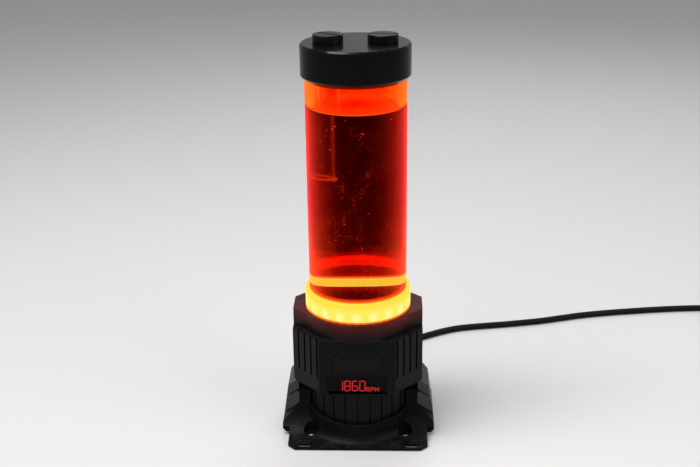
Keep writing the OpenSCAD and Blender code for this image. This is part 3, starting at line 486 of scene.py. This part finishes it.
metalValues = {
    "screwSteel": {"colour": (0.55, 0.55, 0.57), "rough": 0.3, "scale": 900, "stretch": (1, 1, 0.2)},
    "statorSteel": {"colour": (0.30, 0.31, 0.33), "rough": 0.45, "scale": 900, "stretch": (0.2, 0.2, 4)},
    "copperWire": {"colour": (0.75, 0.30, 0.13), "rough": 0.3, "scale": 600, "stretch": (0.3, 0.3, 6)},
    "ferrite": {"colour": (0.10, 0.10, 0.11), "rough": 0.5, "scale": 1200, "stretch": (1, 1, 1)},
}
materials = {name: mouldedPlastic(name, values) for name, values in plasticValues.items()}
materials.update({name: metal(name, values) for name, values in metalValues.items()})

ringValues = {
    "topColour": (1.0, 0.74, 0.05),
    "sideColour": (1.0, 0.90, 0.12),
    "spotColour": (1.0, 0.97, 0.36),
    "footColour": (0.95, 0.13, 0.015),
    "bodyColour": (0.10, 0.04, 0.0),
    "count": 20,             # diodes behind the ring
    "sharpness": 1.6,
    "strength": 0.95,
    "footTop": 0.0818,       # heights in metres
    "sideTop": 0.0885,
    "spotHeights": (0.0835, 0.0862),
}


def ringDiffuser(values):
    # frosted ring: golden top, lemon side, wide soft spots over the diodes low down, orange-red foot
    material, tree, shader, _ = newMaterial("ringDiffuser")
    spots = groupNode(tree, diodeSpots, Count=values["count"], Sharpness=values["sharpness"])
    side = groupNode(tree, heightBand, Low=0.0, High=values["sideTop"], Soft=0.004)
    spotLow, spotHigh = values["spotHeights"]
    low = groupNode(tree, heightBand, Low=spotLow, High=spotHigh, Soft=0.0028)
    foot = groupNode(tree, heightBand, Low=0.0, High=values["footTop"], Soft=0.0007)
    blotches = groupNode(tree, mouldedGrain, Scale=1500, Blotch_Scale=140).outputs["Blotches"]
    hot = times(tree, spots.outputs["Spots"], low.outputs["Band"])
    broad = mixColour(tree, blotches, shade(values["sideColour"], 0.88), values["sideColour"])
    base = mixColour(tree, side.outputs["Band"], values["topColour"], broad)
    warm = mixColour(tree, hot, base, values["spotColour"])
    final = mixColour(tree, foot.outputs["Band"], warm, values["footColour"])
    tree.links.new(final, shader.inputs["Emission Color"])
    shader.inputs["Emission Strength"].default_value = values["strength"]
    shader.inputs["Base Color"].default_value = (*values["bodyColour"], 1)
    shader.inputs["Specular IOR Level"].default_value = 0.2
    tree.links.new(mapRange(tree, blotches, 0.3, 0.7, 0.35, 0.5), shader.inputs["Roughness"])
    return material


materials["ringDiffuser"] = ringDiffuser(ringValues)


def glowing(name, colour, strength, bodyShare=0.3, specular=0.45):
    # a lit piece with a slightly uneven glow; its own colour is a share of the light's
    material, tree, shader, _ = newMaterial(name)
    blotches = groupNode(tree, mouldedGrain, Scale=2500, Blotch_Scale=700).outputs["Blotches"]
    tree.links.new(mixColour(tree, blotches, shade(colour, 0.8), colour), shader.inputs["Emission Color"])
    shader.inputs["Emission Strength"].default_value = strength
    shader.inputs["Base Color"].default_value = (*shade(colour, bodyShare), 1)
    shader.inputs["Roughness"].default_value = 0.3
    shader.inputs["Specular IOR Level"].default_value = specular
    return material


glowValues = {               # colour and strength of the light, then the piece's own colour share and gloss
    "segmentLit": ((1.0, 0.02, 0.03), 0.72),
    # painted light: the black board behind the window glows faintly, giving the window its dark tone
    "displayBlackPaintedGlow": ((1.0, 0.85, 0.85), 0.010, 0.0, 0.0),
    # painted light: the unlit segments glow faintly
    "segmentDarkPaintedGlow": ((1.0, 0.45, 0.45), 0.014, 0.0, 0.0),
    "diode": ((1.0, 0.22, 0.02), 0.8),
    # painted light: the air bubbles glow as if lit by the ring
    "bubblePaintedGlow": ((1.0, 0.16, 0.03), 0.8),
}
materials.update({name: glowing(name, *values) for name, values in glowValues.items()})

coolantValues = {
    "radius": 0.02503,       # just into the tube's wall, so that no air shows between them
    "bottom": 0.08772,
    "level": 0.2077,
    "meniscus": 0.0009,      # climb up the wall; it falls off as exp(-inward / meniscusFall)
    "meniscusReach": 0.004,
    "meniscusFall": 0.0011,
    "flatFrom": 0.012,       # radius of the inner ring of the flat top
    "tint": (0.55, 0.045, 0.02),
    "wall": [                # height and colour of the light painted on the wall round the liquid, low to high
        (0.0877, (1.0, 0.60, 0.09)), (0.0884, (0.90, 0.52, 0.03)), (0.0919, (0.90, 0.52, 0.03)),
        (0.0927, (1.0, 0.60, 0.10)), (0.0935, (0.65, 0.06, 0.005)), (0.0950, (0.30, 0.002, 0.0)),
        (0.0975, (0.12, 0.001, 0.0)), (0.1080, (0.045, 0.0, 0.0)), (0.1250, (0.022, 0.0, 0.0)),
        (0.1600, (0.016, 0.0, 0.0)), (0.2077, (0.012, 0.0, 0.0))],
    "mirror": (0.80, 0.012, 0.008),
    "mirrorHeights": (0.0955, 0.1110),
    # colours of painted light on the liquid's top, its floor, its specks and its waterline
    "topInner": (0.92, 0.0, 0.0),
    "topOuter": (1.0, 0.030, 0.001),
    "topRadii": (0.006, 0.0235),
    "floorInner": (0.06, 0.0, 0.0),
    "floorOuter": (0.30, 0.004, 0.0),
    "floorRadii": (0.012, 0.0245),
    "paintedSpeckLight": (0.55, 0.015, 0.002),
    "line": (1.0, 0.14, 0.01),
    "ior": 1.34,
}


def heightRamp(tree, height, stops):
    # colour by height, straight between the stops
    low, high = stops[0][0], stops[-1][0]
    ramp = tree.nodes.new("ShaderNodeValToRGB")
    tree.links.new(mapRange(tree, height, low, high, 0.0, 1.0), ramp.inputs[0])
    elements = ramp.color_ramp.elements
    while len(elements) < len(stops):
        elements.new(0.5)
    for element, (z, colour) in zip(elements, stops):
        element.position = (z - low) / (high - low)
        element.color = (*colour, 1)
    return ramp.outputs[0]


def mixShaders(tree, factor, a, b):
    return addNode(tree, "ShaderNodeMixShader", {0: factor, 1: a, 2: b}).outputs[0]


def addShaders(tree, a, b):
    return addNode(tree, "ShaderNodeAddShader", {0: a, 1: b}).outputs[0]


def clearShader(shader, ior, mirrorTint=(1, 1, 1), tint=(1, 1, 1)):
    # a see-through body with a polished surface
    shader.inputs["Transmission Weight"].default_value = 1.0
    shader.inputs["IOR"].default_value = ior
    shader.inputs["Roughness"].default_value = 0.0
    shader.inputs["Base Color"].default_value = (*tint, 1)
    shader.inputs["Specular Tint"].default_value = (*mirrorTint, 1)


acrylicValues = {
    # colours of painted glow on the tube: its edges, its far wall, a band above the coolant and a thin band at
    # the ring's top
    "edgeColour": (1.0, 0.014, 0.002),
    "lowEdgeColour": (1.0, 0.060, 0.004),
    "edgePower": 2.2,
    "edgeStrength": 1.35,
    "lowStrength": 1.8,
    "farSide": (1.0, 0.28, 0.006),
    "farMiddle": (1.0, 0.012, 0.0),
    "airFront": (0.10, 0.002, 0.0),
    "unmirrored": 0.72,      # share of the wall that lets light through without a mirror image on it
    "airHeights": (0.2079, 0.2300),
    "collarHeights": (0.0931, 0.0942),
    "collarGlowColour": (1.0, 0.16, 0.01),
    "lowerFade": (0.108, 0.150),   # heights between which the lower edge glow gives way to the upper one
    "middleToSide": (0.06, 0.32),  # Layer Weight over which the far wall turns from middle to side colour
    "outerWallFrom": 0.0275,       # radius between the tube's two faces
    "ior": 1.49,
}


def acrylicMaterial(values):
    # clear tube with the ring's light painted on: its edges glow where the eye looks along the wall,
    # and above the coolant its far wall is painted lit orange
    material, tree, shader, output = newMaterial("acrylicClear")
    clearShader(shader, values["ior"], (0.04, 0.04, 0.04))
    blotches = groupNode(tree, mouldedGrain, Scale=900, Blotch_Scale=70).outputs["Blotches"]
    radius = groupNode(tree, fromAxis).outputs["Distance"]
    airLow, airHigh = values["airHeights"]
    air = groupNode(tree, heightBand, Low=airLow, High=airHigh, Soft=0.0006)
    collarLow, collarHigh = values["collarHeights"]
    collar = groupNode(tree, heightBand, Low=collarLow, High=collarHigh, Soft=0.0008)
    facing = addNode(tree, "ShaderNodeLayerWeight", {"Blend": 0.5}).outputs["Facing"]
    lower = mapRange(tree, air.outputs["Height"], *values["lowerFade"], 1.0, 0.0, ease=True)
    amount = mapRange(tree, lower, 0.0, 1.0, values["edgeStrength"], values["lowStrength"])
    strength = times(tree, mathNode(tree, "POWER", facing, values["edgePower"]), amount)
    below = mathNode(tree, "SUBTRACT", 1.0, air.outputs["Band"])
    sideGlow = mathNode(tree, "MINIMUM", times(tree, strength, below), 1.0)
    edgeColour = mixColour(tree, lower, values["edgeColour"], values["lowEdgeColour"])
    glow = mixColour(tree, sideGlow, black, edgeColour)
    glow = mixColour(tree, air.outputs["Band"], glow, values["airFront"])
    glow = mixColour(tree, collar.outputs["Band"], glow, values["collarGlowColour"])
    tree.links.new(glow, shader.inputs["Emission Color"])
    shader.inputs["Emission Strength"].default_value = 1.0
    toSide = mapRange(tree, facing, *values["middleToSide"])
    uneven = mapRange(tree, blotches, 0.35, 0.65, -0.15, 0.15)
    farColour = mixColour(tree, mathNode(tree, "ADD", toSide, uneven), values["farMiddle"], values["farSide"])
    far = addNode(tree, "ShaderNodeEmission", {"Color": farColour, "Strength": 1.0})
    inside = addNode(tree, "ShaderNodeNewGeometry").outputs["Backfacing"]
    farWall = times(tree, inside, mathNode(tree, "GREATER_THAN", radius, values["outerWallFrom"]))
    # going in, most of the light passes without a mirror image; coming out, the wall mirrors in full
    entering = times(tree, mathNode(tree, "SUBTRACT", 1.0, inside), values["unmirrored"])
    clear = addNode(tree, "ShaderNodeBsdfRefraction", {"IOR": values["ior"], "Roughness": 0.0})
    softened = mixShaders(tree, entering, shader.outputs[0], clear.outputs[0])
    glowOnly = addNode(tree, "ShaderNodeEmission", {"Color": glow, "Strength": entering})
    lit = addShaders(tree, softened, glowOnly.outputs[0])
    tree.links.new(mixShaders(tree, farWall, lit, far.outputs[0]), output.inputs["Surface"])
    return material


def coolantMaterial(values):
    # red liquid: clear from outside; where the eye meets its far wall from inside, light is painted on it by
    # height;
    # that wall mirrors once, so the painted lit foot shows again above itself; painted specks of light, a
    # painted lit waterline
    material, tree, shader, output = newMaterial("coolantRed")
    clearShader(shader, values["ior"], (0.3, 0.02, 0.01), values["tint"])
    radius = groupNode(tree, fromAxis).outputs["Distance"]
    paintedSpecks = groupNode(tree, paintedLightSpecks, Scale=1100, Cloud_Scale=42).outputs["Painted Specks"]
    level = values["level"]
    line = groupNode(tree, heightBand, Low=level - 0.0002, High=level + 0.002, Soft=0.0004)
    top = groupNode(tree, heightBand, Low=level - 0.00005, High=level + 0.01, Soft=0.00003)
    # painted light on the liquid's front surface: glowing specks, then the waterline and the top
    glow = mixColour(tree, paintedSpecks, black, values["paintedSpeckLight"])
    glow = mixColour(tree, line.outputs["Band"], glow, values["line"])
    topSpread = mapRange(tree, radius, *values["topRadii"])
    topColour = mixColour(tree, topSpread, values["topInner"], values["topOuter"])
    glow = mixColour(tree, top.outputs["Band"], glow, topColour)
    tree.links.new(glow, shader.inputs["Emission Color"])
    shader.inputs["Emission Strength"].default_value = 1.0
    # painted light seen from inside: by height on the far wall, and on the floor brighter towards the rim
    wall = heightRamp(tree, line.outputs["Height"], values["wall"])
    floorSpread = mapRange(tree, radius, *values["floorRadii"])
    floorColour = mixColour(tree, floorSpread, values["floorInner"], values["floorOuter"])
    isWall = mathNode(tree, "GREATER_THAN", radius, values["radius"] - 0.00008)
    painted = mixColour(tree, isWall, floorColour, wall)
    # the light crosses the surface once on its way out, which costs it the root of the tint
    undo = tuple(1 / share ** 0.5 for share in values["tint"])
    unTint = mixColour(tree, 1.0, painted, undo, blend="MULTIPLY")
    lit = addNode(tree, "ShaderNodeEmission", {"Color": unTint, "Strength": 1.0})
    mirrored = addNode(tree, "ShaderNodeLightPath").outputs["Glossy Depth"]
    mirrorLow, mirrorHigh = values["mirrorHeights"]
    zone = groupNode(tree, heightBand, Low=mirrorLow, High=mirrorHigh, Soft=0.0008)
    once = times(tree, mathNode(tree, "LESS_THAN", mirrored, 0.5), isWall)
    once = times(tree, once, zone.outputs["Band"])
    glossy = addNode(tree, "ShaderNodeBsdfAnisotropic", {
        "Color": mixColour(tree, once, black, values["mirror"]), "Roughness": 0.0})
    both = addShaders(tree, lit.outputs[0], glossy.outputs[0])
    backfacing = addNode(tree, "ShaderNodeNewGeometry").outputs["Backfacing"]
    tree.links.new(mixShaders(tree, backfacing, shader.outputs[0], both), output.inputs["Surface"])
    return material


dipValues = {
    "ior": 1.12,
    "tint": (0.8, 0.8, 0.8),
    "rimHeights": (0.16, 0.1652),
    "rimShare": 0.35,
    "edgePower": 5.0,
    "glow": (1.0, 0.10, 0.02),
    "strength": 0.8,
}


def dipMaterial(values):
    # clear dip tube: lit along its edges and round its lower rim
    material, tree, shader, _ = newMaterial("dipAcrylic")
    clearShader(shader, values["ior"], tint=values["tint"])
    rimLow, rimHigh = values["rimHeights"]
    rim = groupNode(tree, heightBand, Low=rimLow, High=rimHigh, Soft=0.0005)
    facing = addNode(tree, "ShaderNodeLayerWeight", {"Blend": 0.5}).outputs["Facing"]
    edge = mathNode(tree, "POWER", facing, values["edgePower"])
    amount = mathNode(tree, "MAXIMUM", edge, times(tree, rim.outputs["Band"], values["rimShare"]))
    tree.links.new(mixColour(tree, amount, black, values["glow"]), shader.inputs["Emission Color"])
    shader.inputs["Emission Strength"].default_value = values["strength"]
    return material


windowValues = {"ior": 1.03, "darkTint": (0.68, 0.60, 0.60), "lightTint": (0.80, 0.72, 0.72)}


def windowMaterial(values):
    # thin smoked window, slightly cloudy in its tint, that lets the digits through
    material, tree, shader, _ = newMaterial("windowSmoke")
    clearShader(shader, values["ior"])
    blotches = groupNode(tree, mouldedGrain, Scale=3000, Blotch_Scale=120).outputs["Blotches"]
    tint = mixColour(tree, blotches, values["darkTint"], values["lightTint"])
    tree.links.new(tint, shader.inputs["Base Color"])
    return material


materials["acrylicClear"] = acrylicMaterial(acrylicValues)
materials["coolantRed"] = coolantMaterial(coolantValues)
materials["dipAcrylic"] = dipMaterial(dipValues)
materials["windowSmoke"] = windowMaterial(windowValues)
print("materials made:", len(materials))

nodeFinish = {
    "base_bracket": "basePlastic", "left_upper_trim": "trimPlastic", "left_lower_trim": "trimPlastic",
    "right_upper_trim": "trimPlastic", "right_lower_trim": "trimPlastic", "rubber_feet": "footRubber",
    "base_screws": "screwSteel", "damping_ring": "footRubber", "motor_housing": "bodyPlastic",
    "controller_board": "boardGreen", "board_components": "partBlack", "board_screws": "screwSteel",
    "stator_core": "statorSteel", "stator_windings": "copperWire", "motor_can": "bodyPlastic",
    "can_seal": "sealRubber", "rotor_shaft": "shaftCeramic", "bearing_bush": "bushCarbon",
    "rotor_magnet": "ferrite", "impeller": "impellerPlastic", "pump_body": "bodyPlastic",
    "pump_screws": "screwSteel", "shell_floor": "bodyPlastic", "shell_screws": "screwSteel",
    "housing_shell": "shellPlastic", "front_panel": "panelPlastic", "badge_plate": "badgePlastic",
    "display_window": "windowSmoke", "display_board": "displayBlackPaintedGlow", "lit_segments": "segmentLit",
    "unlit_segments": "segmentDarkPaintedGlow", "led_board": "boardWhite", "ring_leds": "diode",
    "light_ring": "ringDiffuser", "tube_seal": "sealRubber", "reservoir_tube": "acrylicClear",
    "coolant": "coolantRed", "dip_tube": "dipAcrylic", "top_cap": "capPlastic", "cap_seal": "sealRubber",
    "fill_plug": "plugPlastic", "fill_plug_seal": "sealRubber", "vent_plug": "plugPlastic",
    "vent_plug_seal": "sealRubber", "strain_relief": "cableRubber", "power_cable": "cableRubber",
    "cable_coil": "cableRubber", "cable_tie": "partBlack", "cable_connector": "partBlack",
}


def dress(piece, name):
    piece.data.materials.clear()
    piece.data.materials.append(materials[name])


for node, finish in nodeFinish.items():
    dress(nodes[node], finish)
dress(cable, "cableRubber")
print("nodes dressed")


def makeCoolant(values):
    # lathe profile: flat floor, straight side, a curve up the wall at the waterline, then the flat top
    r, level, climb = values["radius"], values["level"], values["meniscus"]
    inward = np.linspace(0, values["meniscusReach"], 9)
    top = level + climb * np.exp(-inward / values["meniscusFall"])
    profile = np.vstack([
        [[0, values["bottom"]], [r, values["bottom"]]],
        np.stack([r - inward, top], -1),
        [[values["flatFrom"], level], [0, level]],
    ])
    body = lathe("coolantBody", profile, steps=160)
    cleanMesh(body)
    body.data.set_sharp_from_angle(angle=math.radians(40))
    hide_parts("coolant")
    dress(body, "coolantRed")
    return body


bubbleValues = {
    "count": 44,
    "seed": 5,
    "sizes": (0.00024, 0.00060),
    "dipPlace": (-0.0158, 0.0),
    "dipRadius": 0.0067,
    "dipShare": 0.4,         # of the bubbles that cling to the dip tube
    "dipTurn": (-1.9, 1.2),  # radians round it
    "dipHeights": (0.163, 0.200),
    "dipClear": 0.0075,      # the others keep this far from its axis
    "reach": 0.0235,         # and this near to the tank's
    "heights": (0.110, 0.204),
    "rows": 6,               # of faces on each ball, pole to pole
    "columns": 10,
}


def makeBubbles(values):
    # small balls: two fifths cling round the dip tube, the rest hang anywhere in the liquid;
    # point(k, i, j) = centre_k + size_k (sin v_i cos a_j, sin v_i sin a_j, cos v_i)
    pick = np.random.default_rng(values["seed"])
    count = values["count"]
    near = int(count * values["dipShare"])
    turn = pick.uniform(*values["dipTurn"], near)
    cling = np.stack([
        values["dipPlace"][0] + values["dipRadius"] * np.cos(turn),
        values["dipPlace"][1] + values["dipRadius"] * np.sin(turn),
        pick.uniform(*values["dipHeights"], near)], -1)
    angle = pick.uniform(0, 2 * np.pi, count - near)
    out = values["reach"] * np.sqrt(pick.uniform(0.15, 1, count - near))
    loose = np.stack([out * np.cos(angle), out * np.sin(angle),
                      pick.uniform(*values["heights"], count - near)], -1)
    fromDip = loose[:, :2] - np.array(values["dipPlace"])
    loose = loose[np.linalg.norm(fromDip, axis=1) > values["dipClear"]]
    centres = np.vstack([cling, loose])
    low, high = values["sizes"]
    size = low + (high - low) * pick.uniform(0, 1, len(centres)) ** 2
    rows, columns = values["rows"], values["columns"]
    v = np.linspace(0, np.pi, rows + 1)
    a = np.linspace(0, 2 * np.pi, columns, endpoint=False)
    ball = np.stack([np.outer(np.sin(v), np.cos(a)), np.outer(np.sin(v), np.sin(a)),
                     np.repeat(np.cos(v)[:, None], columns, 1)], -1)
    points = centres[:, None, None] + size[:, None, None, None] * ball
    i, j = np.meshgrid(np.arange(rows), np.arange(columns), indexing="ij")
    ahead = (j + 1) % columns
    corners = [i * columns + j, (i + 1) * columns + j, (i + 1) * columns + ahead, i * columns + ahead]
    quad = np.stack(corners, -1).reshape(-1, 4)
    perBall = (rows + 1) * columns
    quads = (quad[None] + perBall * np.arange(len(centres))[:, None, None]).reshape(-1, 4)
    mesh = bpy.data.meshes.new("airBubbles")
    mesh.from_pydata(points.reshape(-1, 3).tolist(), [], quads.tolist())
    mesh.polygons.foreach_set("use_smooth", np.full(len(mesh.polygons), True))
    bubbles = linkObject("airBubbles", mesh)
    cleanMesh(bubbles)
    # the balls are given a painted red glow
    dress(bubbles, "bubblePaintedGlow")


makeCoolant(coolantValues)
makeBubbles(bubbleValues)
print("coolant poured")

studio = {
    "floorReach": 6.0,
    "floorColour": (0.52, 0.515, 0.51),
    "worldColour": (0.80, 0.80, 0.81),
    "worldStrength": 0.50,
    "aim": (0, 0, 0.12),
    "lights": [              # name, place, width, depth, power in watts
        ("keyLight", (-0.55, -0.75, 0.95), 0.7, 0.7, 4.5),
        ("topLight", (-0.33, -0.09, 1.10), 0.28, 0.75, 12.0),
        ("fillLight", (0.85, -0.45, 0.6), 0.8, 0.8, 5.0),
        ("backLight", (0.25, 0.85, 0.9), 0.7, 0.7, 3.5),
    ],
}


def makeStudio(values):
    far = values["floorReach"]
    corners = [(-far, -far, 0), (far, -far, 0), (-far, far, 0), (far, far, 0)]
    mesh = bpy.data.meshes.new("studioFloor")
    mesh.from_pydata(corners, [], [(0, 1, 3, 2)])
    floor = bpy.data.objects.new("studioFloor", mesh)
    bpy.context.scene.collection.objects.link(floor)
    material, tree, shader, _ = newMaterial("studioFloor")
    shader.inputs["Base Color"].default_value = (*values["floorColour"], 1)
    shader.inputs["Roughness"].default_value = 0.5
    floor.data.materials.append(material)
    world = bpy.data.worlds.new("studioWorld")
    world.use_nodes = True
    back = world.node_tree.nodes["Background"]
    back.inputs["Color"].default_value = (*values["worldColour"], 1)
    back.inputs["Strength"].default_value = values["worldStrength"]
    bpy.context.scene.world = world
    for name, place, width, depth, power in values["lights"]:
        data = bpy.data.lights.new(name, "AREA")
        data.shape = "RECTANGLE"
        data.size = width
        data.size_y = depth
        data.energy = power
        light = bpy.data.objects.new(name, data)
        bpy.context.scene.collection.objects.link(light)
        light.location = place
        aim = Vector(values["aim"]) - light.location
        light.rotation_euler = aim.to_track_quat("-Z", "Y").to_euler()


makeStudio(studio)
bpy.context.scene.view_settings.view_transform = "Standard"
print("studio lit")
